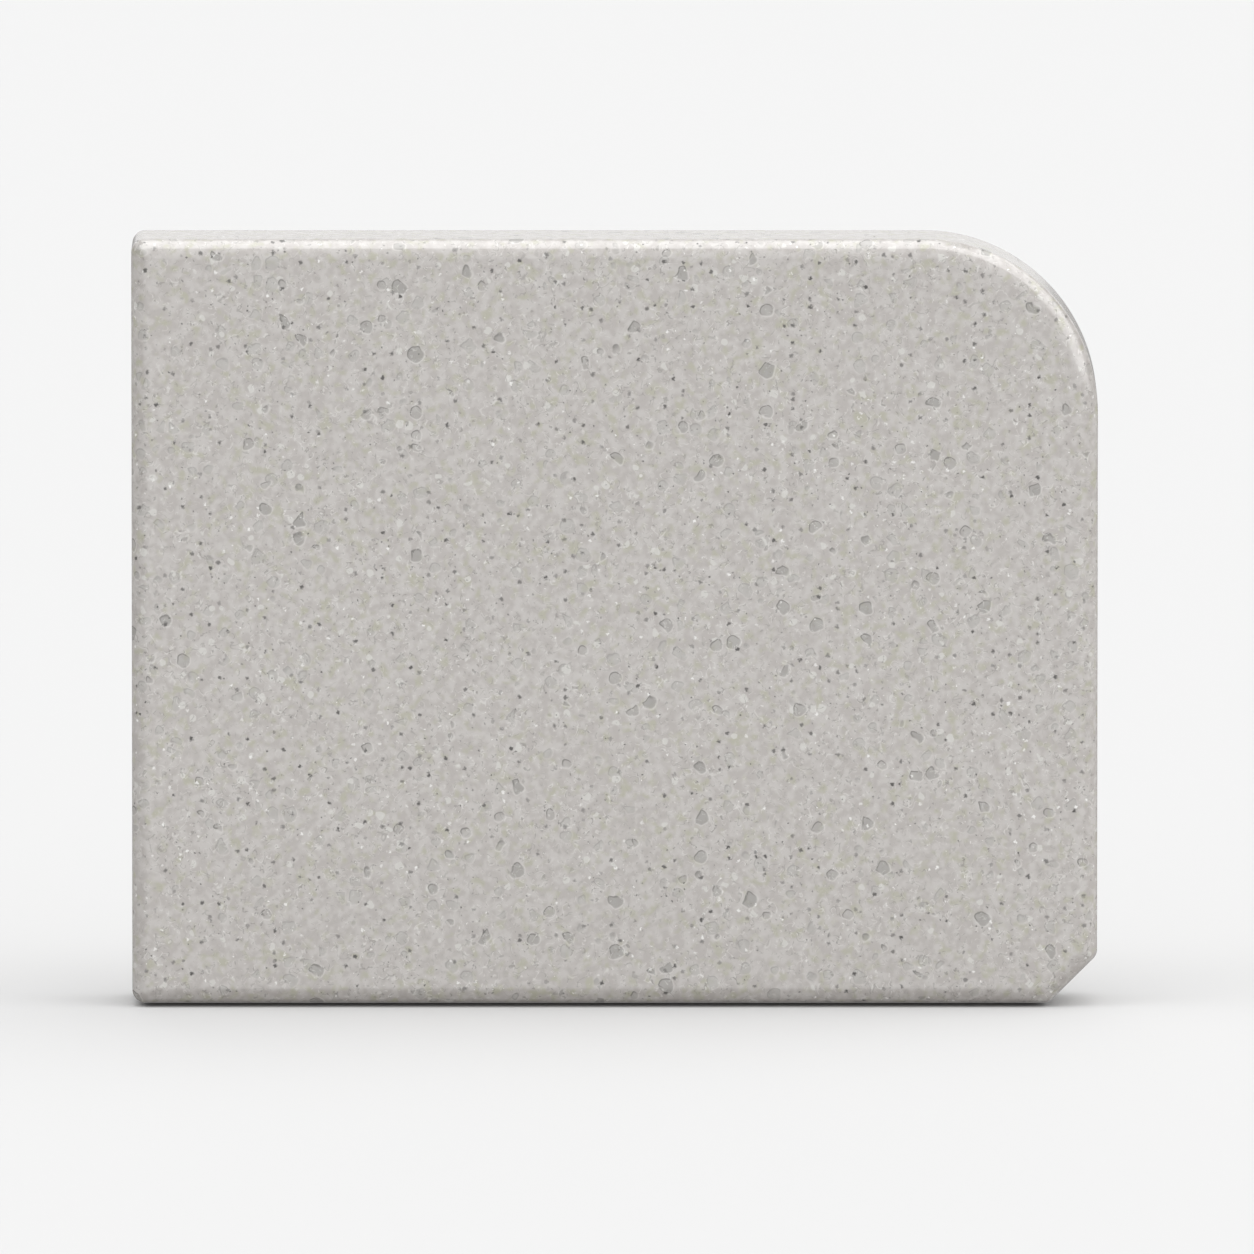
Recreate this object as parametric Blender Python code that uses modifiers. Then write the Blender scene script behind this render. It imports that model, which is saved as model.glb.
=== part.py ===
"""Granite slab for leatherwork: a polished block of speckled stone on four stick-on rubber feet.

The slab stands on its long edge, as it is stored. X is the width, Z is up, and the polished work face
looks towards -Y. The feet are on the back, which is the underside when the slab lies on a bench. The
origin is at the bottom of the whole object, in the middle of its width and depth. Units are metres.
"""

from math import cos, pi, radians, sin, tan

import bmesh
import bpy
from mathutils import Matrix, Vector

# The stone, cut from stock an inch and a quarter thick
SLAB_WIDTH = 0.255
SLAB_HEIGHT = 0.203
SLAB_THICKNESS = 0.032
LARGE_CORNER_RADIUS = 0.046
CHAMFER_LEG = 0.0128
SMALL_CORNER_RADIUS = 0.0035
RIM_ROUNDING = 0.005
MITRE_RADIUS = 0.0008

# A stick-on foot: a short rubber cone, widest where it is bonded
FOOT_BASE_RADIUS = 0.010
FOOT_TIP_RADIUS = 0.0085
FOOT_EDGE_ROUNDING = 0.001
FOOT_HEIGHT = 0.0044
FOOT_INSET = 0.030
TAPE_RADIUS = 0.0095
TAPE_THICKNESS = 0.001

# Touching pieces keep this gap
GAP = 0.0003

# How finely round shapes are divided
LARGE_CORNER_STEPS = 24
SMALL_CORNER_STEPS = 5
RIM_SEGMENTS = 6
ROUND_STEPS = 48
FOOT_EDGE_STEPS = 4
MERGE_DISTANCE = 0.00001
SHARP_ANGLE = radians(30)

# Places worked out from the sizes above
STAND_OFF = GAP + TAPE_THICKNESS + GAP + FOOT_HEIGHT
FRONT_Y = -(SLAB_THICKNESS + STAND_OFF) / 2
DISC_Y = FRONT_Y + SLAB_THICKNESS + GAP
FOOT_Y = DISC_Y + TAPE_THICKNESS + GAP
FOOT_X = SLAB_WIDTH / 2 - FOOT_INSET
FOOT_CENTRES = {
    "top_left": (-FOOT_X, SLAB_HEIGHT - FOOT_INSET),
    "top_right": (FOOT_X, SLAB_HEIGHT - FOOT_INSET),
    "bottom_left": (-FOOT_X, FOOT_INSET),
    "bottom_right": (FOOT_X, FOOT_INSET),
}
Z_TO_BACKWARD = Matrix.Rotation(radians(-90), 4, "X")


def clear_scene():
    for obj in list(bpy.data.objects):
        bpy.data.objects.remove(obj)


def new_collection(name):
    collection = bpy.data.collections.new(name)
    bpy.context.scene.collection.children.link(collection)
    return collection


def principled(name, colour, roughness, metallic=0.0):
    material = bpy.data.materials.new(name)
    material.use_nodes = True
    shader = material.node_tree.nodes["Principled BSDF"]
    shader.inputs["Base Color"].default_value = (*colour, 1.0)
    shader.inputs["Roughness"].default_value = roughness
    shader.inputs["Metallic"].default_value = metallic
    return material


def new_mesh(name, bm, material):
    mesh = bpy.data.meshes.new(name)
    bm.to_mesh(mesh)
    bm.free()
    mesh.materials.append(material)
    mesh.shade_smooth()
    mesh.set_sharp_from_angle(angle=SHARP_ANGLE)
    return mesh


def new_object(name, mesh, collection, place=Matrix()):
    obj = bpy.data.objects.new(name, mesh)
    obj.matrix_world = place
    collection.objects.link(obj)
    return obj


def rounded_corner(corner, before, after, radius, steps):
    """The points of an arc that joins the two straight sides meeting at a corner, both ends included."""
    along, away = (corner - before).normalized(), (after - corner).normalized()
    turn = along.angle(away)
    inward = Vector((-along.y, along.x))
    centre = corner - along * radius * tan(turn / 2) + inward * radius
    turns = [Matrix.Rotation(turn * i / steps, 2) for i in range(steps + 1)]
    return [centre - (turned @ inward) * radius for turned in turns]


def outline(inset):
    """The slab's outline as (x, z) points, anticlockwise from the front, drawn in by this much all round.

    Drawing it in shortens each corner's radius, down to the soft line where two rounded rims meet."""
    side, top = SLAB_WIDTH / 2, SLAB_HEIGHT - inset
    cut = CHAMFER_LEG + inset * tan(radians(45) / 2)
    corners = [
        (Vector((inset - side, inset)), SMALL_CORNER_RADIUS, SMALL_CORNER_STEPS),
        (Vector((side - cut, inset)), SMALL_CORNER_RADIUS, SMALL_CORNER_STEPS),
        (Vector((side - inset, cut)), SMALL_CORNER_RADIUS, SMALL_CORNER_STEPS),
        (Vector((side - inset, top)), LARGE_CORNER_RADIUS, LARGE_CORNER_STEPS),
        (Vector((inset - side, top)), SMALL_CORNER_RADIUS, SMALL_CORNER_STEPS),
    ]
    points = []
    for i, (corner, radius, steps) in enumerate(corners):
        before, after = corners[i - 1][0], corners[(i + 1) % len(corners)][0]
        points += rounded_corner(corner, before, after, max(radius - inset, MITRE_RADIUS), steps)
    return points


def slab_rings():
    """(inset, y) of each ring of the slab from the work face round its rim, over the edge and to the back."""
    turns = [pi / 2 * i / RIM_SEGMENTS for i in range(RIM_SEGMENTS + 1)]
    rim = [(RIM_ROUNDING * (1 - sin(a)), RIM_ROUNDING * (1 - cos(a))) for a in turns]
    front = [(inset, FRONT_Y + depth) for inset, depth in rim]
    back = [(inset, FRONT_Y + SLAB_THICKNESS - depth) for inset, depth in reversed(rim)]
    return front + back


def build_slab(material, collection):
    """Rings of the outline bridged one to the next, with a flat face filling the first and the last."""
    bm = bmesh.new()
    rings = []
    for inset, y in slab_rings():
        verts = [bm.verts.new((x, y, z)) for x, z in outline(inset)]
        rings.append([bm.edges.new(pair) for pair in zip(verts, verts[1:] + verts[:1])])
    for ring, following in zip(rings, rings[1:]):
        bmesh.ops.bridge_loops(bm, edges=ring + following)
    for ring in (rings[0], rings[-1]):
        bmesh.ops.contextual_create(bm, geom=ring)
    bmesh.ops.recalc_face_normals(bm, faces=bm.faces)
    new_object("stone_slab", new_mesh("stone_slab", bm, material), collection)


def foot_profile():
    """Half of the foot's section, down its outer side: tip, rounded edge, cone, bonded face."""
    points = [(0.0, FOOT_HEIGHT)]
    centre_x = FOOT_TIP_RADIUS - FOOT_EDGE_ROUNDING
    centre_z = FOOT_HEIGHT - FOOT_EDGE_ROUNDING
    for i in range(FOOT_EDGE_STEPS + 1):
        turn = pi / 2 * (1 - i / FOOT_EDGE_STEPS)
        points.append(
            (
                centre_x + FOOT_EDGE_ROUNDING * cos(turn),
                centre_z + FOOT_EDGE_ROUNDING * sin(turn),
            )
        )
    points += [(FOOT_BASE_RADIUS, 0.0), (0.0, 0.0)]
    return points


def foot_mesh(material):
    """The section as a chain of edges, which each foot's Screw modifier turns about +Z."""
    bm = bmesh.new()
    section = [bm.verts.new((x, 0.0, z)) for x, z in foot_profile()]
    for upper, lower in zip(section, section[1:]):
        bm.edges.new((upper, lower))
    return new_mesh("rubber_foot", bm, material)


def turn_foot(foot):
    turned = foot.modifiers.new("Turned", "SCREW")
    turned.axis = "Z"
    turned.steps = turned.render_steps = ROUND_STEPS
    turned.use_merge_vertices = True
    turned.merge_threshold = MERGE_DISTANCE
    turned.use_smooth_shade = True


def disc_mesh(material):
    """A flat disc standing on its own origin, drawn out along +Z."""
    bm = bmesh.new()
    bmesh.ops.create_cone(
        bm,
        cap_ends=True,
        segments=ROUND_STEPS,
        radius1=TAPE_RADIUS,
        radius2=TAPE_RADIUS,
        depth=TAPE_THICKNESS,
        matrix=Matrix.Translation((0, 0, TAPE_THICKNESS / 2)),
    )
    return new_mesh("adhesive_disc", bm, material)


def main():
    clear_scene()
    collection = new_collection("granite_slab")
    stone = principled("polished_stone", (0.50, 0.48, 0.45), 0.25)
    rubber = principled("black_rubber", (0.02, 0.02, 0.02), 0.75)
    tape = principled("foam_tape", (0.75, 0.74, 0.70), 0.9)

    build_slab(stone, collection)
    disc_shape, foot_shape = disc_mesh(tape), foot_mesh(rubber)
    for corner, (x, z) in FOOT_CENTRES.items():
        disc_place = Matrix.Translation((x, DISC_Y, z)) @ Z_TO_BACKWARD
        new_object(f"adhesive_disc_{corner}", disc_shape, collection, disc_place)
        foot_place = Matrix.Translation((x, FOOT_Y, z)) @ Z_TO_BACKWARD
        foot = new_object(f"rubber_foot_{corner}", foot_shape, collection, foot_place)
        turn_foot(foot)


main()
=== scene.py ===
# %% [markdown]
# # A granite tooling slab
# Leatherworkers strike punches and stamps on a heavy block of polished stone. This one is a single pale
# slab, an inch and a quarter thick. One corner is a wide quarter round, one is cut off at 45 degrees, and
# the other two are only eased. Four stick-on rubber feet are on its back, which is the underside in use.
#
# The CAD model comes first and stays where it is. Everything below is built around it, in metres,
# with X along the slab, Z up and the polished work face looking towards -Y.

# %% Load the CAD model
from math import cos, pi, radians, sin, tan

import bmesh
import bpy
from mathutils import Matrix, Vector, noise


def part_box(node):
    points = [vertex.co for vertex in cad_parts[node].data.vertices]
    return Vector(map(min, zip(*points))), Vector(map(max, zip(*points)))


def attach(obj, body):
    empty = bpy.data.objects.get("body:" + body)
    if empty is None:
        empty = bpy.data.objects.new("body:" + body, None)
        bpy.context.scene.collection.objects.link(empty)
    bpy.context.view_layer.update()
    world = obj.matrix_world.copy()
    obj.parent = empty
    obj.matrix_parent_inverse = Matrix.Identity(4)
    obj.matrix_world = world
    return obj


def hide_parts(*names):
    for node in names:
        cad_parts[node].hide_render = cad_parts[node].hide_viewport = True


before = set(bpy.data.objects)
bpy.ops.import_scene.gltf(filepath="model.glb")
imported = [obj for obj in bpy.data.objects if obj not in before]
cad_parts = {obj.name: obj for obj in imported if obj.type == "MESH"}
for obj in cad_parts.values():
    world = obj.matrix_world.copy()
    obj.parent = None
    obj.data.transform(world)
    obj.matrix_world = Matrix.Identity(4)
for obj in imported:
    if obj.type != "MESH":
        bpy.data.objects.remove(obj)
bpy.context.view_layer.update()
scene = bpy.context.scene

# %% [markdown]
# ## Camera
# The slab is seen square to its work face, a little from above, and with no visible perspective: its
# sides stay parallel. A very long lens far away does that. The camera looks at a point slightly right of
# the slab's middle and below it, which leaves a little more floor than air around it.

# %% Place the camera
LENS_MM = 1000
SENSOR_MM = 36
VIEW_WIDTH = 0.3315
LOOK_DOWN = radians(6.5)
AIM_RIGHT = 0.00325
AIM_BELOW = 0.0028

slab_low, slab_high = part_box("stone_slab")
slab_middle = (slab_low + slab_high) / 2
view_back = Vector((0, -cos(LOOK_DOWN), sin(LOOK_DOWN)))
view_up = Vector((0, sin(LOOK_DOWN), cos(LOOK_DOWN)))
camera_data = bpy.data.cameras.new("camera")
camera_data.lens = LENS_MM
camera_data.sensor_width = SENSOR_MM
camera_data.clip_end = 100
camera = bpy.data.objects.new("camera", camera_data)
scene.collection.objects.link(camera)
aim = slab_middle + Vector((AIM_RIGHT, 0, 0)) - view_up * AIM_BELOW
distance = VIEW_WIDTH * LENS_MM / SENSOR_MM
camera.location = aim + view_back * distance
camera.rotation_euler = (pi / 2 - LOOK_DOWN, 0, 0)
scene.camera = camera
scene.view_settings.view_transform = "Standard"
print("camera distance", round(distance, 2))

# %% [markdown]
# ## Small helpers for node trees
# A shader is a tree of nodes joined by links. These helpers add a node, fill in its sockets by name and
# join it up in one call. A value that is itself a socket is linked, and any other value is typed in.

# %% Helpers that add and join nodes
def add(tree, kind, **values):
    """Adds a node. Its settings and its input sockets are given by name, with _ for a space."""
    made = tree.nodes.new(kind)
    for name, value in values.items():
        if hasattr(made, name):
            setattr(made, name, value)
            continue
        socket = made.inputs[int(name[1:]) if name[1:].isdigit() else name.replace("_", " ")]
        if isinstance(value, bpy.types.NodeSocket):
            tree.links.new(value, socket)
        else:
            socket.default_value = value
    return made


def work_out(tree, operation, *values):
    """A Math node: ADD, MULTIPLY and so on, of one to three values."""
    made = tree.nodes.new("ShaderNodeMath")
    made.operation = operation
    for socket, value in zip(made.inputs, values):
        if isinstance(value, bpy.types.NodeSocket):
            tree.links.new(value, socket)
        else:
            socket.default_value = value
    return made.outputs[0]


def product(tree, first, *others):
    """Two or more values multiplied together."""
    for other in others:
        first = work_out(tree, "MULTIPLY", first, other)
    return first


def ramp(tree, value, start, end, low=0.0, high=1.0):
    """Smoothly from low to high as value goes from start to end."""
    made = add(tree, "ShaderNodeMapRange", interpolation_type="SMOOTHSTEP", Value=value)
    for name, number in (("From Min", start), ("From Max", end), ("To Min", low), ("To Max", high)):
        if isinstance(number, bpy.types.NodeSocket):
            tree.links.new(number, made.inputs[name])
        else:
            made.inputs[name].default_value = number
    return made.outputs["Result"]


def blend(tree, share, first, second):
    """A mix of two colours."""
    made = tree.nodes.new("ShaderNodeMix")
    made.data_type = "RGBA"
    for socket, value in ((made.inputs[0], share), (made.inputs[6], first), (made.inputs[7], second)):
        if isinstance(value, bpy.types.NodeSocket):
            tree.links.new(value, socket)
        elif isinstance(value, tuple):
            socket.default_value = (*value, 1.0)
        else:
            socket.default_value = value
    return made.outputs[2]


# %% [markdown]
# ## Light
# The slab stands in a light tent. Real lamps with soft boxes would do, but a polished edge mirrors all of
# its surroundings, so it is simpler to paint them: the world shader gets the direction of each ray, and
# answers with the brightness of the tent that way. A direction has parts from -1 to 1: x to the right, y
# away from the viewer and z up. Each edge of a lamp or a wall is a pair of such numbers, between which it
# fades from dark to bright.
#
# First come the walls. The front one is the brightest, as it lights the work face. The side walls are dim,
# so the rounded sides are greyer than the face.

# %% Walls of the tent
FRONT_WALL = 1.1
BACK_WALL = 0.30
SIDE_WALL = 0.1
FRONT_TO_BACK = (-0.4, 0.4)
TURN_OF_WALL = (0.25, 0.7)

world = bpy.data.worlds.new("light_tent")
world.use_nodes = True
tent = world.node_tree
tent.nodes.clear()
direction = add(tent, "ShaderNodeTexCoord").outputs["Generated"]
to_right, to_back, to_top = add(tent, "ShaderNodeSeparateXYZ", Vector=direction).outputs
sideways = work_out(tent, "ABSOLUTE", to_right)
front_and_back = ramp(tent, to_back, *FRONT_TO_BACK, FRONT_WALL, BACK_WALL)
walls = work_out(tent, "ADD", product(tent, front_and_back, ramp(tent, sideways, *TURN_OF_WALL, 1.0, 0.0)),
                 ramp(tent, sideways, *TURN_OF_WALL, 0.0, SIDE_WALL))
print("walls", FRONT_WALL, SIDE_WALL, BACK_WALL)

# %% [markdown]
# ### Lamps
# A long panel hangs over the slab, from just in front of it to well behind. Behind the slab it narrows to
# a band, which is all that the straight top edge mirrors, so the floor isn't flooded from behind. A curved
# strip carries on from it down the right-hand wall, and the large rounded corner mirrors that as a clean
# line. A weak fill on the left evens out the shadows, and a glow low at the back lightens the top edge.

# %% Panel and strip
PANEL = 1.95
PANEL_FRONT_EDGE = (-0.49, -0.43)
PANEL_BACK_EDGE = (0.95, 0.35)
PANEL_LOW_EDGE = (0.45, 0.6)
PANEL_LEFT_EDGE = (-0.75, -0.5)
PANEL_STRIP_EDGE = (-0.34, -0.28)
BEHIND_SLAB = (0.0, 0.25)
BAND_EDGE = (0.08, 0.24)
BAND_BOOST = 1.4
BOOST_EDGE = (-0.3, 0.1)
STRIP = 2.15
STRIP_AXIS = (-0.475, -0.639, 0.605)
STRIP_FRONT_EDGE = (0.46, 0.28)
STRIP_BACK_EDGE = (-0.50, -0.20)
STRIP_FOOT = (0.0, 0.1)
STRIP_HEAD = (0.2, 0.35)

off_strip = add(tent, "ShaderNodeVectorMath", operation="DOT_PRODUCT", _0=direction,
                _1=STRIP_AXIS).outputs["Value"]
beside_band = product(tent, ramp(tent, to_back, *BEHIND_SLAB), ramp(tent, sideways, *BAND_EDGE))
panel = product(
    tent,
    ramp(tent, to_back, *PANEL_FRONT_EDGE),
    ramp(tent, off_strip, *PANEL_STRIP_EDGE),
    ramp(tent, to_back, *PANEL_BACK_EDGE),
    ramp(tent, to_top, *PANEL_LOW_EDGE),
    ramp(tent, to_right, *PANEL_LEFT_EDGE),
    work_out(tent, "SUBTRACT", 1.0, beside_band),
    ramp(tent, to_back, *BOOST_EDGE, 1.0, BAND_BOOST),
    PANEL,
)
strip = product(
    tent,
    ramp(tent, off_strip, *STRIP_FRONT_EDGE),
    ramp(tent, off_strip, *STRIP_BACK_EDGE),
    ramp(tent, to_top, *STRIP_FOOT),
    ramp(tent, to_right, *STRIP_HEAD),
    STRIP,
)
lamps = work_out(tent, "MAXIMUM", panel, strip)
print("panel", PANEL, "strip", STRIP)

# %% Glow at the back and fill on the left
BACK_GLOW = 0.76
BACK_GLOW_EDGE = (0.75, 0.95)
FILL = 0.8
FILL_LOW_EDGE = (0.25, 0.45)
FILL_EDGE = (-0.3, -0.5)

back_glow = product(tent, ramp(tent, to_back, *BACK_GLOW_EDGE), BACK_GLOW)
fill = product(tent, ramp(tent, to_top, *FILL_LOW_EDGE), ramp(tent, to_right, *FILL_EDGE, 0.0, FILL))
above = work_out(tent, "ADD", walls, lamps)
above = work_out(tent, "ADD", above, back_glow)
above = work_out(tent, "ADD", above, fill)

# %% [markdown]
# ### Below the horizon
# The upright face mirrors what lies in front of it at table height, a pale table top. Past the sides of
# the table the tent is dim, and straight down it is black, which darkens the underside of the rim. The
# viewer sees none of this: to the camera the tent is one even, pale backdrop, as bright as the floor.

# %% Table, horizon and backdrop
TABLE = 0.90
TABLE_SURROUND = 0.42
TABLE_NEAR_EDGE = (-0.50, -0.22)
TABLE_SIDE_EDGE = (0.80, 0.40)
TABLE_BACK_EDGE = (0.2, -0.2)
STRAIGHT_DOWN = (-0.85, -0.35)
HORIZON = (-0.02, 0.0)
TENT_POWER = 0.795
BACKDROP = 0.913

table = product(
    tent,
    ramp(tent, to_top, *TABLE_NEAR_EDGE),
    ramp(tent, sideways, *TABLE_SIDE_EDGE),
    ramp(tent, to_back, *TABLE_BACK_EDGE, 0.0, TABLE - TABLE_SURROUND),
)
below = product(tent, work_out(tent, "ADD", table, TABLE_SURROUND), ramp(tent, to_top, *STRAIGHT_DOWN))
tent_light = product(tent, ramp(tent, to_top, *HORIZON, below, above), TENT_POWER)
camera_ray = add(tent, "ShaderNodeLightPath").outputs["Is Camera Ray"]
to_backdrop = work_out(tent, "SUBTRACT", BACKDROP, tent_light)
seen = work_out(tent, "MULTIPLY_ADD", camera_ray, to_backdrop, tent_light)
background = add(tent, "ShaderNodeBackground", Color=(1, 1, 1, 1), Strength=seen)
add(tent, "ShaderNodeOutputWorld", Surface=background.outputs[0])
scene.world = world
print("tent", len(tent.nodes), "nodes")

# %% [markdown]
# ## Floor
# A plain pale disc, wide enough to fill the view at any low angle. It lies a hair below the slab, which
# leaves a thin dark line of contact. Mirror rays go through it: in the polished stone it would show up as a
# bright floor all round, and a studio table ends a short way off.

# %% Make the floor
FLOOR_RADIUS = 9.0
FLOOR_SIDES = 96
FLOOR_DROP = 0.0008
FLOOR_COLOUR = (0.694, 0.694, 0.694)
FLOOR_ROUGHNESS = 0.9
FLOOR_GLOSS = 0.1

floor_shape = bmesh.new()
bmesh.ops.create_circle(floor_shape, cap_ends=True, segments=FLOOR_SIDES, radius=FLOOR_RADIUS)
floor_mesh = bpy.data.meshes.new("floor")
floor_shape.to_mesh(floor_mesh)
floor_shape.free()
floor_paint = bpy.data.materials.new("floor_paint")
floor_paint.use_nodes = True
tree = floor_paint.node_tree
shader = tree.nodes["Principled BSDF"]
shader.inputs["Base Color"].default_value = (*FLOOR_COLOUR, 1)
shader.inputs["Roughness"].default_value = FLOOR_ROUGHNESS
shader.inputs["Specular IOR Level"].default_value = FLOOR_GLOSS
mirror_ray = add(tree, "ShaderNodeLightPath").outputs["Is Glossy Ray"]
clear = add(tree, "ShaderNodeBsdfTransparent")
either = add(tree, "ShaderNodeMixShader", _0=mirror_ray, _1=shader.outputs[0], _2=clear.outputs[0])
tree.links.new(either.outputs[0], tree.nodes["Material Output"].inputs["Surface"])
floor_mesh.materials.append(floor_paint)
floor = bpy.data.objects.new("floor", floor_mesh)
floor.location.z = -FLOOR_DROP
scene.collection.objects.link(floor)
print("floor", FLOOR_RADIUS, "m in radius")

# %% [markdown]
# ## The slab
# The block is sawn, its outline is ground, and then every edge of both faces is rounded over with a
# profile wheel and polished. So the shape is a stack of outlines: the work face, then a ring for each
# step round the edge, each drawn a little less inwards than the last, down the side, and the same again
# at the back. Neighbouring rings are joined by faces.

# %% Outline of the slab
LARGE_CORNER_RADIUS = 0.046
CHAMFER_LEG = 0.0128
SMALL_CORNER_RADIUS = 0.0035
RIM_ROUNDING = 0.005
MITRE_RADIUS = 0.0008
HOLDING_STRIP = 0.0003
RIM_STEPS = 18
LARGE_CORNER_STEPS = 72
SMALL_CORNER_STEPS = 12

SLAB_WIDTH = slab_high.x - slab_low.x
SLAB_HEIGHT = slab_high.z - slab_low.z
SLAB_THICKNESS = slab_high.y - slab_low.y
FRONT_Y = slab_low.y
print("slab", round(SLAB_WIDTH, 4), "x", round(SLAB_HEIGHT, 4), "x", round(SLAB_THICKNESS, 4), "m")


def rounded_corner(corner, before, after, radius, steps):
    """Points on the arc that joins two straight sides, both ends included."""
    along, away = (corner - before).normalized(), (after - corner).normalized()
    turn = along.angle(away)
    inward = Vector((-along.y, along.x))
    centre = corner - along * radius * tan(turn / 2) + inward * radius
    turns = [Matrix.Rotation(turn * i / steps, 2) for i in range(steps + 1)]
    return [centre - (turned @ inward) * radius for turned in turns]


def outline(inset):
    """(x, z) points of the outline drawn in by this much, anticlockwise from the front."""
    side, top = SLAB_WIDTH / 2, SLAB_HEIGHT - inset
    cut = CHAMFER_LEG + inset * tan(radians(45) / 2)
    corners = [
        (Vector((inset - side, inset)), SMALL_CORNER_RADIUS, SMALL_CORNER_STEPS),
        (Vector((side - cut, inset)), SMALL_CORNER_RADIUS, SMALL_CORNER_STEPS),
        (Vector((side - inset, cut)), SMALL_CORNER_RADIUS, SMALL_CORNER_STEPS),
        (Vector((side - inset, top)), LARGE_CORNER_RADIUS, LARGE_CORNER_STEPS),
        (Vector((inset - side, top)), SMALL_CORNER_RADIUS, SMALL_CORNER_STEPS),
    ]
    points = []
    for i, (corner, radius, steps) in enumerate(corners):
        before, after = corners[i - 1][0], corners[(i + 1) % len(corners)][0]
        points += rounded_corner(corner, before, after, max(radius - inset, MITRE_RADIUS), steps)
    return points


# %% [markdown]
# ### Rings
# A bevel modifier could round the rim, but it bulges where its width meets the eased corners. Rings give
# exact rounds: each step round the quarter circle sets how far in the outline is drawn and how deep it
# lies. A narrow extra ring beside each end of the round holds the smooth shading of the flat face and side.
# The faces are made one by one from the same places on two rings. A tool that bridges two rings has to guess
# which points belong together, and on small rings it guesses wrong.

# %% Join rings of points into a closed piece
def slab_rings():
    """(inset, y) of each ring, from the work face over the rim and down to the back."""
    turns = [pi / 2 * i / RIM_STEPS for i in range(RIM_STEPS + 1)]
    rim = [(RIM_ROUNDING * (1 - sin(a)), RIM_ROUNDING * (1 - cos(a))) for a in turns]
    rim = [(RIM_ROUNDING + HOLDING_STRIP, 0.0)] + rim
    rim.append((0.0, RIM_ROUNDING + HOLDING_STRIP))
    front = [(inset, FRONT_Y + depth) for inset, depth in rim]
    back = [(inset, FRONT_Y + SLAB_THICKNESS - depth) for inset, depth in reversed(rim)]
    return front + back


SHARP_ANGLE = radians(30)


def piece_from_rings(name, rings):
    """A closed shape whose surface runs from ring to ring of points, with a flat face at each end."""
    shape = bmesh.new()
    loops = [[shape.verts.new(point) for point in points] for points in rings]
    for loop, following in zip(loops, loops[1:]):
        for i in range(len(loop)):
            shape.faces.new((loop[i - 1], loop[i], following[i], following[i - 1]))
    for loop in (loops[0], loops[-1]):
        shape.faces.new(loop)
    bmesh.ops.recalc_face_normals(shape, faces=shape.faces)
    mesh = bpy.data.meshes.new(name)
    shape.to_mesh(mesh)
    shape.free()
    mesh.shade_smooth()
    mesh.set_sharp_from_angle(angle=SHARP_ANGLE)
    piece = bpy.data.objects.new(name, mesh)
    scene.collection.objects.link(piece)
    print(name, len(mesh.polygons), "faces")
    return piece


slab_points = [[(x, y, z) for x, z in outline(inset)] for inset, y in slab_rings()]
slab = piece_from_rings("polished_slab", slab_points)

# %% [markdown]
# ## Stone
# This stone is pale quartz and feldspar with a fine dark mineral. Close up it is a mass of things at
# different sizes: clouds a few millimetres wide, rounded glassy chips with a thin dark outline, darkened on
# one side as painted shade and lit on the other by a painted highlight, short curved wisps of lighter and
# darker grain, and specks under a millimetre across, some nearly black and some white. Real stone is solid,
# so the pattern is worked out in three dimensions, in millimetres, and simply cut by the surface. A chip
# that reaches an edge carries on round it.
#
# Each kind of thing is a node group, built once and placed with its own sizes. A group puts out masks,
# which say where the thing is. The material decides what colour, gloss and height that means.

# %% A new node group with named sockets
def new_group(name, inputs, outputs):
    """An empty group. Returns its tree, its inputs by name, and the node that collects its outputs."""
    tree = bpy.data.node_groups.new(name, "ShaderNodeTree")
    for label, kind in inputs.items():
        tree.interface.new_socket(name=label, in_out="INPUT", socket_type=kind)
    for label, kind in outputs.items():
        tree.interface.new_socket(name=label, in_out="OUTPUT", socket_type=kind)
    entry = tree.nodes.new("NodeGroupInput")
    return tree, {label: entry.outputs[label] for label in inputs}, tree.nodes.new("NodeGroupOutput")


def place(tree, group, **values):
    """Places a group in a tree, fills in its inputs by name, and returns its outputs by name."""
    made = add(tree, "ShaderNodeGroup", node_tree=group)
    for name, value in values.items():
        socket = made.inputs[name.replace("_", " ")]
        if isinstance(value, bpy.types.NodeSocket):
            tree.links.new(value, socket)
        else:
            socket.default_value = value
    return made.outputs


NUMBER = "NodeSocketFloat"
VECTOR = "NodeSocketVector"

# %% [markdown]
# ### Chips
# A Voronoi texture divides space into cells round scattered points, which is how grains that grew or were
# pressed together look. A share of the cells become chips. Each is drawn in from its neighbours, and its
# corners are cut by a sphere, so its section is a rounded polygon. Its thin dark outline is kept to the
# upper left as painted shade, and a light ring on the lower right is a painted highlight, as if each chip
# were a shallow hollow lit from above.

# %% Group: chips
CHIP_WOBBLE = 0.3
CHIP_INSET = 0.03
CHIP_INSET_SPREAD = 0.16
CHIP_REACH = 0.32
CHIP_REACH_SPREAD = 0.22
CHIP_ROUNDING = 0.15
# The side of each chip that gets the painted shade; the painted highlight goes on the opposite side.
UPPER_LEFT = (-0.55, 0.0, 0.83)


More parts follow.
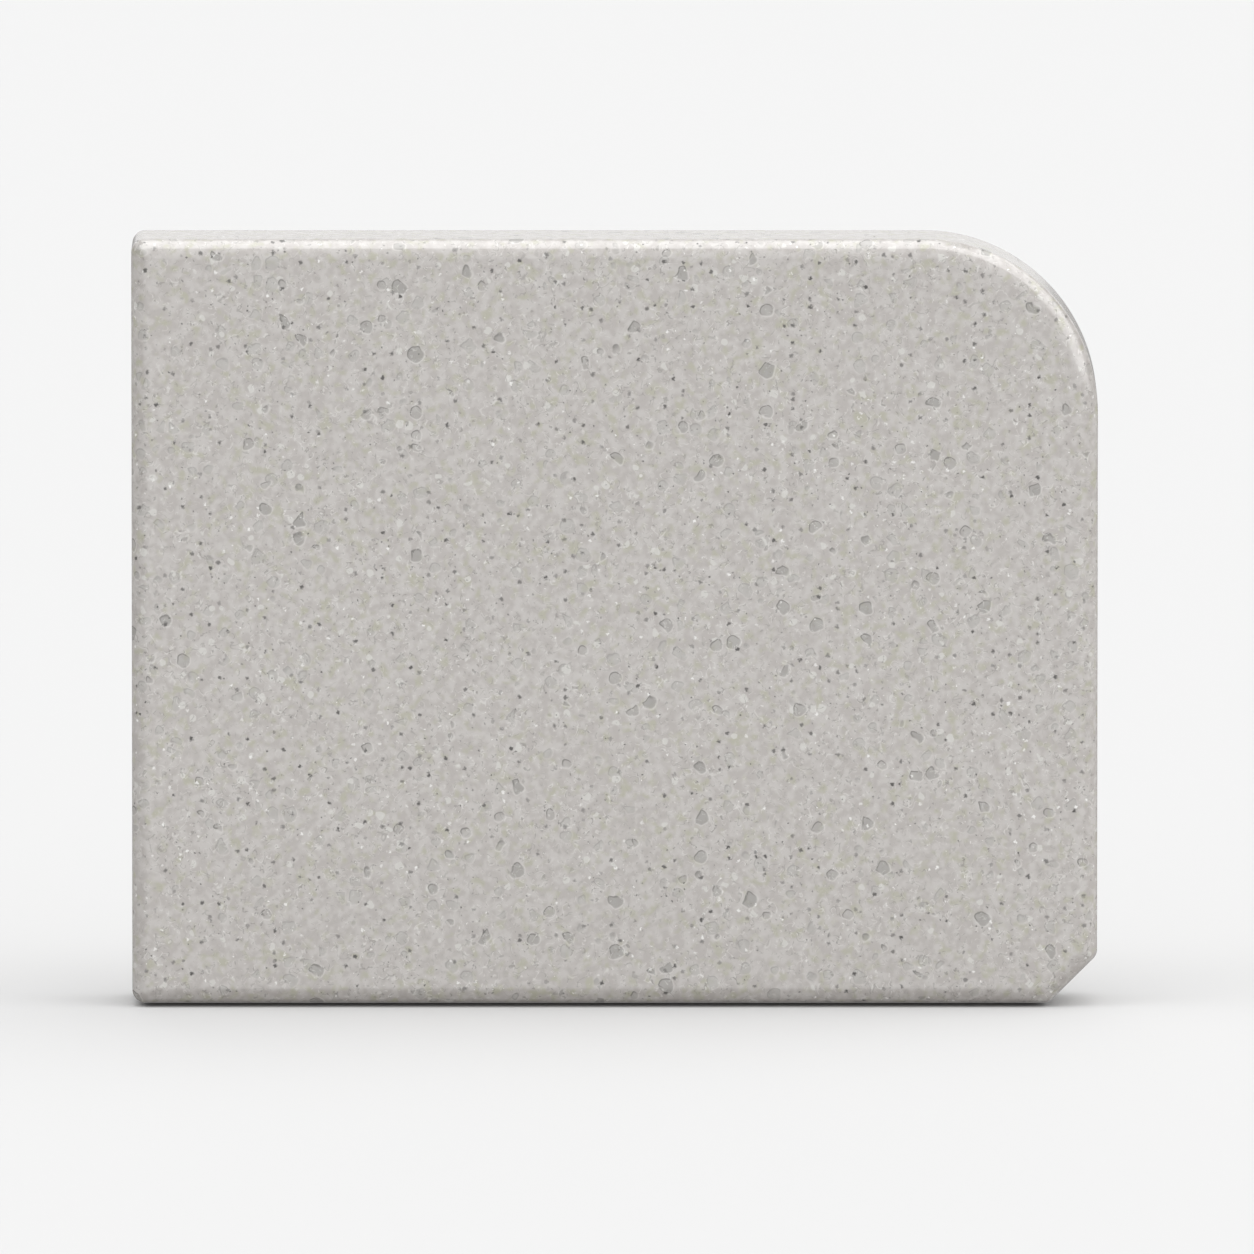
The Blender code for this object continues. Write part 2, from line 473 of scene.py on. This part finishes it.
def chips_group():
    tree, given, result = new_group(
        "stone_chips", {"Position": VECTOR, "Spacing": NUMBER, "Share": NUMBER},
        {"Fill": NUMBER, "Outline": NUMBER, "Painted_highlight": NUMBER, "Tone": NUMBER})
    in_cells = add(tree, "ShaderNodeVectorMath", operation="SCALE", _0=given["Position"],
                   Scale=work_out(tree, "DIVIDE", 1.0, given["Spacing"])).outputs[0]
    wobble = add(tree, "ShaderNodeTexNoise", Vector=in_cells, Scale=1.5, Detail=1.0).outputs["Color"]
    wobble = add(tree, "ShaderNodeVectorMath", operation="MULTIPLY_ADD", _0=wobble, _1=(CHIP_WOBBLE,) * 3,
                 _2=in_cells).outputs[0]
    cell = add(tree, "ShaderNodeTexVoronoi", Vector=wobble, Scale=1.0).outputs
    edge = add(tree, "ShaderNodeTexVoronoi", feature="DISTANCE_TO_EDGE", Vector=wobble,
               Scale=1.0).outputs[0]
    lottery = add(tree, "ShaderNodeSeparateColor", Color=cell["Color"]).outputs
    chosen = work_out(tree, "LESS_THAN", lottery[0], given["Share"])
    inset = work_out(tree, "MULTIPLY_ADD", lottery[1], CHIP_INSET_SPREAD, CHIP_INSET)
    reach = work_out(tree, "MULTIPLY_ADD", lottery[2], CHIP_REACH_SPREAD, CHIP_REACH)
    inside = work_out(tree, "SUBTRACT", edge, inset)
    within_reach = work_out(tree, "SUBTRACT", reach, cell["Distance"])
    depth = work_out(tree, "SMOOTH_MIN", inside, within_reach, CHIP_ROUNDING)
    fill = product(tree, ramp(tree, depth, -0.04, 0.07), chosen)
    rim = product(tree, ramp(tree, depth, -0.02, 0.02), ramp(tree, depth, 0.10, 0.03), chosen)
    # A light ring just outside the chip, later kept to its lower right: a painted highlight.
    highlight_rim = product(tree, ramp(tree, depth, -0.12, -0.04), ramp(tree, depth, 0.01, -0.03), chosen)
    outwards = add(tree, "ShaderNodeVectorMath", operation="SUBTRACT", _0=wobble,
                   _1=cell["Position"]).outputs[0]
    outwards = add(tree, "ShaderNodeVectorMath", operation="NORMALIZE", _0=outwards).outputs[0]
    lean = add(tree, "ShaderNodeVectorMath", operation="DOT_PRODUCT", _0=outwards,
               _1=UPPER_LEFT).outputs["Value"]
    tree.links.new(fill, result.inputs["Fill"])
    # The outline is the chip's own dark rim, darkened towards the upper left as painted shade; the light
    # ring is a painted highlight on the lower right.
    tree.links.new(product(tree, rim, ramp(tree, lean, -0.5, 0.7)), result.inputs["Outline"])
    tree.links.new(product(tree, highlight_rim, ramp(tree, lean, 0.5, -0.5)), result.inputs["Painted_highlight"])
    tree.links.new(lottery[2], result.inputs["Tone"])
    return tree


chips = chips_group()
print("group", chips.name, len(chips.nodes), "nodes")

# %% [markdown]
# ### Wisps
# Where a smooth noise passes through its middle value it draws a winding line. Kept only where a second
# noise is high, that line breaks into short curved strokes, like the edges of grains that are too faint to
# see whole.

# %% Group: wisps
WISP_WINDING = 0.9
WISP_OFFSET = 0.55
WISP_KEPT = (0.56, 0.64)


def wisps_group():
    tree, given, result = new_group(
        "stone_wisps", {"Position": VECTOR, "Spacing": NUMBER, "Width": NUMBER},
        {"Light": NUMBER, "Dark": NUMBER})
    in_cells = add(tree, "ShaderNodeVectorMath", operation="SCALE", _0=given["Position"],
                   Scale=work_out(tree, "DIVIDE", 1.0, given["Spacing"])).outputs[0]
    winding = add(tree, "ShaderNodeTexNoise", Vector=in_cells, Scale=1.0, Detail=0.0,
                  Distortion=WISP_WINDING).outputs[0]
    off_line = work_out(tree, "SUBTRACT", winding, 0.5)
    kept = add(tree, "ShaderNodeTexNoise", Vector=in_cells, Scale=1.5, Detail=0.0).outputs["Color"]
    kept = add(tree, "ShaderNodeSeparateColor", Color=kept).outputs
    for side, where, name in ((WISP_OFFSET, kept[0], "Light"), (-WISP_OFFSET, kept[1], "Dark")):
        middle = product(tree, given["Width"], side)
        off_side = work_out(tree, "ABSOLUTE", work_out(tree, "SUBTRACT", off_line, middle))
        line = ramp(tree, off_side, given["Width"], 0.0)
        tree.links.new(product(tree, line, ramp(tree, where, *WISP_KEPT)), result.inputs[name])
    return tree


wisps = wisps_group()
print("group", wisps.name, len(wisps.nodes), "nodes")

# %% [markdown]
# ### Specks
# A speck is a small ball round a cell's point. Some cells have none, and the rest vary in size.

# %% Group: specks
SPECK_WOBBLE = 0.36
SPECK_CORE = 0.45


def specks_group():
    tree, given, result = new_group(
        "stone_specks", {"Position": VECTOR, "Spacing": NUMBER, "Radius": NUMBER, "Share": NUMBER},
        {"Mask": NUMBER})
    in_cells = add(tree, "ShaderNodeVectorMath", operation="SCALE", _0=given["Position"],
                   Scale=work_out(tree, "DIVIDE", 1.0, given["Spacing"])).outputs[0]
    wobble = add(tree, "ShaderNodeTexNoise", Vector=in_cells, Scale=4.0, Detail=0.0).outputs["Color"]
    wobble = add(tree, "ShaderNodeVectorMath", operation="MULTIPLY_ADD", _0=wobble, _1=(SPECK_WOBBLE,) * 3,
                 _2=in_cells).outputs[0]
    cell = add(tree, "ShaderNodeTexVoronoi", Vector=wobble, Scale=1.0).outputs
    lottery = add(tree, "ShaderNodeSeparateColor", Color=cell["Color"]).outputs
    chosen = work_out(tree, "LESS_THAN", lottery[0], given["Share"])
    radius_in_cells = work_out(tree, "DIVIDE", given["Radius"], given["Spacing"])
    reach = product(tree, radius_in_cells, work_out(tree, "MULTIPLY_ADD", lottery[1], 0.8, 0.5))
    inside = ramp(tree, cell["Distance"], reach, product(tree, reach, SPECK_CORE))
    strength = work_out(tree, "MULTIPLY_ADD", lottery[2], 0.5, 0.5)
    tree.links.new(product(tree, inside, chosen, strength), result.inputs["Mask"])
    return tree


specks = specks_group()
print("group", specks.name, len(specks.nodes), "nodes")

# %% [markdown]
# ### Colours
# The stone is built up as a painter would glaze it: a warm grey ground, soft clouds over it, then chips,
# wisps and specks, each laid over the last. The soft noises are worked out in a frame turned askew to the
# slab, because a noise that is cut along its own axes shows its grid as faint rows.

# %% Colours and a helper that lays one over another
BASE_STONE = (0.500, 0.467, 0.445)
GREEN_CLOUD = (0.483, 0.468, 0.382)
PALE_CLOUD = (0.586, 0.560, 0.537)
GLASSY_CHIP = (0.455, 0.445, 0.420)
DARK_CHIP = (0.330, 0.320, 0.300)
WHITE_CHIP = (0.690, 0.680, 0.645)
# The outline grey is partly painted shade on the chips. The light grain colour is grain in the wisps and
# also a painted highlight round the chips.
OUTLINE_AND_SHADE_GREY = (0.220, 0.210, 0.195)
DARK_GRAIN = (0.340, 0.325, 0.300)
LIGHT_GRAIN_AND_HIGHLIGHT = (0.780, 0.765, 0.735)
DARK_SPECK = (0.070, 0.065, 0.058)
WHITE_SPECK = (0.950, 0.940, 0.920)
ASKEW = (0.6, 0.35, 0.8)
MM_PER_METRE = 1000.0

stone = bpy.data.materials.new("polished_stone")
stone.use_nodes = True
tree = stone.node_tree
shader = tree.nodes["Principled BSDF"]


def place_in_mm(tree):
    """Where on its own piece each point is, in millimetres."""
    in_metres = add(tree, "ShaderNodeTexCoord").outputs["Object"]
    return add(tree, "ShaderNodeVectorMath", operation="SCALE", _0=in_metres, Scale=MM_PER_METRE).outputs[0]


def shifted(start, x, y, z):
    """A place moved, so that two layers of one pattern don't line up."""
    return add(tree, "ShaderNodeVectorMath", operation="ADD", _0=start, _1=(x, y, z)).outputs[0]


def soft_noise(where, scale, detail, roughness=0.5):
    """A smooth noise round one half, in the material that is being built."""
    return add(tree, "ShaderNodeTexNoise", Vector=where, Scale=scale, Detail=detail,
               Roughness=roughness).outputs[0]


def paint(under, share, strength, over):
    """Lays a colour over another where share is high."""
    return blend(tree, product(tree, share, strength), under, over)


in_mm = place_in_mm(tree)
askew = add(tree, "ShaderNodeVectorRotate", rotation_type="EULER_XYZ", Vector=in_mm,
            Rotation=ASKEW).outputs[0]

# %% Ground and clouds
cloud = soft_noise(askew, scale=0.30, detail=1.0)
haze = soft_noise(shifted(askew, 31, 7, 55), scale=0.42, detail=1.5, roughness=0.45)
grain = soft_noise(askew, scale=1.3, detail=1.0)
colour = blend(tree, ramp(tree, cloud, 0.50, 0.68), BASE_STONE, GREEN_CLOUD)
colour = paint(colour, ramp(tree, haze, 0.35, 0.68), strength=1.0, over=PALE_CLOUD)
colour = paint(colour, ramp(tree, grain, 0.50, 0.30), strength=0.05, over=DARK_GRAIN)

# %% [markdown]
# ### Chips over the ground
# Most chips are glassy and hardly darker than the ground, and show by their outline. A few are white, and
# a few are bold and grey, some of them much darker than others.

# %% Faint, white and bold chips
faint = place(tree, chips, Position=in_mm, Spacing=4.3, Share=0.24)
colour = paint(colour, faint["Fill"], strength=0.45, over=GLASSY_CHIP)
# The outline, darkest on the upper left, is partly painted shade. The light ring on the lower right is a
# painted highlight.
colour = paint(colour, faint["Outline"], strength=0.40, over=OUTLINE_AND_SHADE_GREY)
colour = paint(colour, faint["Painted_highlight"], strength=0.18, over=LIGHT_GRAIN_AND_HIGHLIGHT)
white = place(tree, chips, Position=shifted(in_mm, 80, 20, 40), Spacing=2.6, Share=0.05)
colour = paint(colour, white["Fill"], strength=0.8, over=WHITE_CHIP)
bold = place(tree, chips, Position=shifted(in_mm, 140, 60, 90), Spacing=4.4, Share=0.09)
colour = paint(colour, bold["Fill"], strength=ramp(tree, bold["Tone"], 0.0, 1.0, 0.30, 0.75), over=DARK_CHIP)
# Painted shade on the upper left of the bold chips' outline, and a painted highlight on their lower right.
colour = paint(colour, bold["Outline"], strength=0.95, over=OUTLINE_AND_SHADE_GREY)
colour = paint(colour, bold["Painted_highlight"], strength=0.35, over=LIGHT_GRAIN_AND_HIGHLIGHT)

# %% [markdown]
# ### Wisps and specks over the chips
# The wisps come in two sizes and are stronger in some places than in others. Two sizes of dark speck and
# one of white lie on top.

# %% Wisps and specks
busy = ramp(tree, soft_noise(shifted(askew, 3, 66, 12), scale=0.12, detail=1.0), 0.35, 0.60, 0.5, 1.0)
wide_wisps = place(tree, wisps, Position=askew, Spacing=3.2, Width=0.032)
colour = paint(colour, wide_wisps["Light"], strength=product(tree, busy, 0.55), over=LIGHT_GRAIN_AND_HIGHLIGHT)
colour = paint(colour, wide_wisps["Dark"], strength=product(tree, busy, 0.65), over=DARK_GRAIN)
fine_wisps = place(tree, wisps, Position=shifted(askew, 17, 90, 33), Spacing=1.8, Width=0.055)
colour = paint(colour, fine_wisps["Light"], strength=product(tree, busy, 0.55), over=LIGHT_GRAIN_AND_HIGHLIGHT)
colour = paint(colour, fine_wisps["Dark"], strength=product(tree, busy, 0.9), over=DARK_GRAIN)

white_specks = place(tree, specks, Position=shifted(in_mm, 9, 44, 71), Spacing=2.3, Radius=0.46, Share=0.35)
colour = paint(colour, white_specks["Mask"], strength=0.9, over=WHITE_SPECK)
dark_grains = place(tree, specks, Position=shifted(in_mm, 61, 13, 8), Spacing=2.4, Radius=0.68, Share=0.22)
dark_dust = place(tree, specks, Position=shifted(in_mm, 23, 77, 52), Spacing=1.6, Radius=0.36, Share=0.30)
dark_specks = work_out(tree, "MAXIMUM", dark_grains["Mask"], dark_dust["Mask"])
colour = paint(colour, dark_specks, strength=1.0, over=DARK_SPECK)
tree.links.new(colour, shader.inputs["Base Color"])

# %% [markdown]
# ### Gloss and relief
# Polished stone is nearly a mirror at a low angle. Its dark mineral is softer, so the polish leaves those
# specks duller and a hundredth of a millimetre low. The back is only sawn and honed: it is duller, and
# keeps faint wandering lines from the saw.

# %% Gloss and relief of the stone
STONE_ROUGHNESS = 0.13
GRAIN_ROUGHNESS = 0.06
SPECK_ROUGHNESS = 0.35
SAWN_ROUGHNESS = 0.42
STONE_IOR = 1.65
STONE_GLOSS = 1.0
PIT_DEPTH = 0.012
CHIP_DEPTH = 0.006
RIPPLE = 0.0006
SAW_DEPTH = 0.012
ONE_MM = 0.001

depth_mm = add(tree, "ShaderNodeSeparateXYZ", Vector=in_mm).outputs["Y"]
back_mm = slab_high.y * MM_PER_METRE
sawn = ramp(tree, depth_mm, back_mm - 0.05, back_mm - 0.005)
dullness = work_out(tree, "MULTIPLY_ADD", grain, GRAIN_ROUGHNESS, STONE_ROUGHNESS - GRAIN_ROUGHNESS / 2)
dullness = work_out(tree, "MULTIPLY_ADD", dark_specks, SPECK_ROUGHNESS, dullness)
dullness = work_out(tree, "MULTIPLY_ADD", sawn, SAWN_ROUGHNESS - STONE_ROUGHNESS, dullness)
tree.links.new(dullness, shader.inputs["Roughness"])

saw_lines = add(tree, "ShaderNodeTexWave", bands_direction="DIAGONAL", Vector=in_mm, Scale=0.22,
                Distortion=3.0, Detail=2.0, Detail_Scale=0.4).outputs["Fac"]
height = product(tree, dark_specks, -PIT_DEPTH)
height = work_out(tree, "MULTIPLY_ADD", bold["Fill"], -CHIP_DEPTH, height)
height = work_out(tree, "MULTIPLY_ADD", grain, RIPPLE, height)
height = work_out(tree, "MULTIPLY_ADD", product(tree, saw_lines, sawn), SAW_DEPTH, height)
relief = add(tree, "ShaderNodeBump", Height=height, Distance=ONE_MM, Strength=1.0)
tree.links.new(relief.outputs[0], shader.inputs["Normal"])
shader.inputs["Specular IOR Level"].default_value = STONE_GLOSS
shader.inputs["IOR"].default_value = STONE_IOR
slab.data.materials.append(stone)
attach(slab, "root")
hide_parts("stone_slab")
print("stone material", len(tree.nodes), "nodes")

# %% [markdown]
# ## Feet and tape
# Each foot is a moulded rubber bumper: a short cone with a rounded edge, a shallow dish in its tip so that
# it rests on a ring, a small pip in the dish where the rubber entered the mould, and a fine line of flash
# near the base where the mould closed. Foam tape, cut into a disc, holds it to the stone. Its two sticky
# skins stand out a hair beyond the soft core. Both are round, so each is a half section turned about an
# axis.

# %% Turn a half section
TURN_STEPS = 96
EDGE_WANDER = 2.5


def turned(name, section, unevenness=0.0):
    """Turns (radius, height) points about Z. A hand-cut edge is uneven by this much."""
    rings = []
    for radius, height in section:
        ring = []
        for i in range(TURN_STEPS):
            angle = 2 * pi * i / TURN_STEPS
            around = Vector((cos(angle), sin(angle), 0))
            wander = noise.noise(around * EDGE_WANDER) * unevenness * radius
            ring.append(around * (radius + wander) + Vector((0, 0, height)))
        rings.append(ring)
    return piece_from_rings(name, rings)


# %% [markdown]
# ### Section of a foot
# The section runs from the middle of the tip outwards: the pip and the dish, each a half wave of a cosine
# so that they meet the flat without a crease, the lip that rests on the bench, the rounded edge, the cone
# with its line of flash, and the flat that is bonded.

# %% Section of a foot
TIP_ROUNDING = 0.001
DISH_DEPTH = 0.00060
DISH_RADIUS = 0.0042
DISH_LIP_RADIUS = 0.0058
PIP_RADIUS = 0.0008
PIP_HEIGHT = 0.0002
FLASH_HEIGHT = 0.0005
FLASH_WIDTH = 0.00008
FLASH_SHAPE = ((1.5, 0.0), (0.8, 0.1), (0.3, 0.9), (0.0, 1.0), (-0.3, 0.9), (-0.8, 0.1), (-1.5, 0.0))
MIDDLE_HOLE = 0.0001
BASE_EASE = 0.0001
CORNER_STEPS = 10


def half_wave(start, end):
    """(radius, height) points from one to the other, level at both ends."""
    points = []
    for i in range(CORNER_STEPS + 1):
        share = i / CORNER_STEPS
        rise = (1 - cos(pi * share)) / 2
        points.append((start[0] + (end[0] - start[0]) * share, start[1] + (end[1] - start[1]) * rise))
    return points


def foot_section(base_radius, tip_radius, height):
    """Down the outside of a foot, from the middle of its tip to the middle of its bonded face."""
    dish = height - DISH_DEPTH
    points = half_wave((MIDDLE_HOLE, dish + PIP_HEIGHT), (MIDDLE_HOLE + PIP_RADIUS, dish))
    points += half_wave((DISH_RADIUS, dish), (DISH_LIP_RADIUS, height))
    for i in range(CORNER_STEPS + 1):
        turn = pi / 2 * (1 - i / CORNER_STEPS)
        inwards, down = TIP_ROUNDING * (1 - cos(turn)), TIP_ROUNDING * (1 - sin(turn))
        points.append((tip_radius - inwards, height - down))
    slope = (base_radius - tip_radius) / (height - TIP_ROUNDING)
    for above, out in FLASH_SHAPE:
        here = FLASH_HEIGHT + above * FLASH_WIDTH
        points.append((base_radius - slope * here + FLASH_WIDTH * out, here))
    points.append((base_radius - BASE_EASE * 0.4, BASE_EASE * 0.8))
    points.append((base_radius - BASE_EASE, 0.0))
    points.append((2 * MIDDLE_HOLE, 0.0))
    return points


# %% [markdown]
# ### Section of a tape disc
# A punch cuts the disc from a sheet. It crushes the soft core a little, so the two skins stand out past it
# and the core bulges back between them.

# %% Section of a tape disc
SKIN = 0.00009
SKIN_OVERHANG = 0.00010
SKIN_EASE = 0.00003
CORE_BULGE = 0.6
CUT_EDGE_STEPS = 8
TAPE_UNEVENNESS = 0.012


def disc_section(radius, thickness):
    """Down the cut edge of a tape disc: upper skin, foam core that bulges a little, lower skin."""
    upper = [(2 * MIDDLE_HOLE, thickness), (radius - SKIN_EASE, thickness), (radius, thickness - SKIN_EASE),
             (radius, thickness - SKIN)]
    core = []
    for i in range(CUT_EDGE_STEPS + 1):
        share = i / CUT_EDGE_STEPS
        bulge = sin(pi * share) * SKIN_OVERHANG * CORE_BULGE
        core.append((radius - SKIN_OVERHANG + bulge, thickness - SKIN - (thickness - 2 * SKIN) * share))
    lower = [(radius, SKIN), (radius, SKIN_EASE), (radius - SKIN_EASE, 0.0), (2 * MIDDLE_HOLE, 0.0)]
    return upper + core + lower


# %% [markdown]
# ### Rubber
# Moulded rubber is nearly black with a fine matt grain. The ring that rubs on the bench goes greyer and a
# little shiny, and stone dust and lint collect in the dish.

# %% Rubber material
RUBBER = (0.017, 0.017, 0.018)
WORN_RUBBER = (0.050, 0.049, 0.048)
DUST = (0.260, 0.250, 0.235)
RUBBER_ROUGHNESS = 0.60
MOULD_GRAIN_DEPTH = 0.010
SCUFF_DEPTH = 0.004

rubber = bpy.data.materials.new("black_rubber")
rubber.use_nodes = True
tree = rubber.node_tree
shader = tree.nodes["Principled BSDF"]
foot_low, foot_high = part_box("rubber_foot_top_left")
tip_mm = (foot_high.y - foot_low.y) * MM_PER_METRE
in_mm = place_in_mm(tree)
above_base = add(tree, "ShaderNodeSeparateXYZ", Vector=in_mm).outputs["Z"]
flat = add(tree, "ShaderNodeVectorMath", operation="MULTIPLY", _0=in_mm, _1=(1.0, 1.0, 0.0)).outputs[0]
off_axis = add(tree, "ShaderNodeVectorMath", operation="LENGTH", _0=flat).outputs["Value"]
mould_grain = soft_noise(in_mm, scale=5.0, detail=2.0)
scuffs = add(tree, "ShaderNodeTexNoise", Vector=in_mm, Scale=0.9, Detail=5.0, Distortion=0.2).outputs[0]
on_tip = ramp(tree, above_base, tip_mm - 0.25, tip_mm - 0.02)
rubbed = product(tree, on_tip, ramp(tree, scuffs, 0.40, 0.60))
in_dish = product(tree, ramp(tree, off_axis, 5.4, 4.6), ramp(tree, above_base, tip_mm - 0.8, tip_mm - 0.5))
dust = product(tree, in_dish, ramp(tree, soft_noise(in_mm, scale=0.6, detail=3.0), 0.40, 0.70))
lint = place(tree, specks, Position=in_mm, Spacing=1.5, Radius=0.11, Share=0.5)["Mask"]
colour = blend(tree, ramp(tree, mould_grain, 0.35, 0.70, 0.0, 0.25), RUBBER, WORN_RUBBER)
colour = paint(colour, rubbed, strength=0.8, over=WORN_RUBBER)
colour = paint(colour, dust, strength=0.35, over=DUST)
colour = paint(colour, lint, strength=0.6, over=DUST)
tree.links.new(colour, shader.inputs["Base Color"])

# %% Gloss and relief of the rubber
dullness = work_out(tree, "MULTIPLY_ADD", mould_grain, 0.2, RUBBER_ROUGHNESS - 0.1)
dullness = work_out(tree, "MULTIPLY_ADD", rubbed, -0.18, dullness)
dullness = work_out(tree, "MULTIPLY_ADD", dust, 0.25, dullness)
tree.links.new(dullness, shader.inputs["Roughness"])
height = product(tree, mould_grain, MOULD_GRAIN_DEPTH)
height = work_out(tree, "MULTIPLY_ADD", scuffs, product(tree, rubbed, SCUFF_DEPTH), height)
relief = add(tree, "ShaderNodeBump", Height=height, Distance=ONE_MM)
tree.links.new(relief.outputs[0], shader.inputs["Normal"])
print("rubber material", len(tree.nodes), "nodes")

# %% [markdown]
# ### Foam tape
# The core is closed-cell foam, so its cut edge is a sponge of open bubbles, which are darkened as painted
# shade in their hollows. The two skins are clear sticky adhesive, a little yellow and shiny, and they gather
# grime where they meet the air.

# %% Foam material
FOAM = (0.640, 0.630, 0.590)
BUBBLE_SHADE = (0.300, 0.290, 0.265)
ADHESIVE = (0.560, 0.530, 0.430)
GRIME = (0.180, 0.170, 0.150)
FOAM_ROUGHNESS = 0.9
ADHESIVE_ROUGHNESS = 0.35
BUBBLE_DEPTH = 0.05

foam = bpy.data.materials.new("foam_tape")
foam.use_nodes = True
tree = foam.node_tree
shader = tree.nodes["Principled BSDF"]
disc_low, disc_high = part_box("adhesive_disc_top_left")
half_tape_mm = (disc_high.y - disc_low.y) * MM_PER_METRE / 2
in_mm = place_in_mm(tree)
up_tape = add(tree, "ShaderNodeSeparateXYZ", Vector=in_mm).outputs["Z"]
off_middle = work_out(tree, "ABSOLUTE", work_out(tree, "SUBTRACT", up_tape, half_tape_mm))
skin = ramp(tree, off_middle, half_tape_mm - 0.11, half_tape_mm - 0.08)
bubbles = add(tree, "ShaderNodeTexVoronoi", Vector=in_mm, Scale=4.5).outputs["Distance"]
open_bubble = ramp(tree, bubbles, 0.50, 0.20)
soiling = soft_noise(in_mm, scale=0.8, detail=3.0)
# Painted shade: the open bubbles of the cut core are coloured darker where their hollows lie.
colour = blend(tree, open_bubble, FOAM, BUBBLE_SHADE)
colour = paint(colour, skin, strength=1.0, over=ADHESIVE)
colour = paint(colour, ramp(tree, soiling, 0.45, 0.75), strength=0.6, over=GRIME)
tree.links.new(colour, shader.inputs["Base Color"])
tree.links.new(ramp(tree, skin, 0.0, 1.0, FOAM_ROUGHNESS, ADHESIVE_ROUGHNESS), shader.inputs["Roughness"])
height = product(tree, open_bubble, ramp(tree, skin, 0.0, 1.0, -BUBBLE_DEPTH, 0.0))
relief = add(tree, "ShaderNodeBump", Height=height, Distance=ONE_MM)
tree.links.new(relief.outputs[0], shader.inputs["Normal"])
print("foam material", len(tree.nodes), "nodes")

# %% [markdown]
# ## Assembly
# A foot and its disc go at each corner of the back, on the places that the CAD model gives. They are
# stuck on by hand, so each is turned by a different angle, and no two show the same scuffs. The turned
# shapes stand on their own Z axis, which is laid over to point backwards.

# %% Put a foot and its tape at each corner
TURNS = {"top_left": 20, "top_right": 155, "bottom_left": 260, "bottom_right": 75}
FOOT_TAPER = 0.0015
Z_TO_BACKWARD = Matrix.Rotation(radians(-90), 4, "X")


def fix_on_back(piece, node, degrees, material):
    low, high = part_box(node)
    middle = Vector(((low.x + high.x) / 2, low.y, (low.z + high.z) / 2))
    turn = Matrix.Rotation(radians(degrees), 4, "Z")
    piece.matrix_world = Matrix.Translation(middle) @ Z_TO_BACKWARD @ turn
    piece.data.materials.append(material)
    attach(piece, "root")
    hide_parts(node)


for corner, degrees in TURNS.items():
    low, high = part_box(f"rubber_foot_{corner}")
    radius = (high.x - low.x) / 2
    section = foot_section(radius, radius - FOOT_TAPER, high.y - low.y)
    foot = turned(f"moulded_foot_{corner}", section)
    fix_on_back(foot, f"rubber_foot_{corner}", degrees, rubber)
    low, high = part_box(f"adhesive_disc_{corner}")
    section = disc_section((high.x - low.x) / 2, high.y - low.y)
    disc = turned(f"foam_disc_{corner}", section, TAPE_UNEVENNESS)
    fix_on_back(disc, f"adhesive_disc_{corner}", degrees, foam)
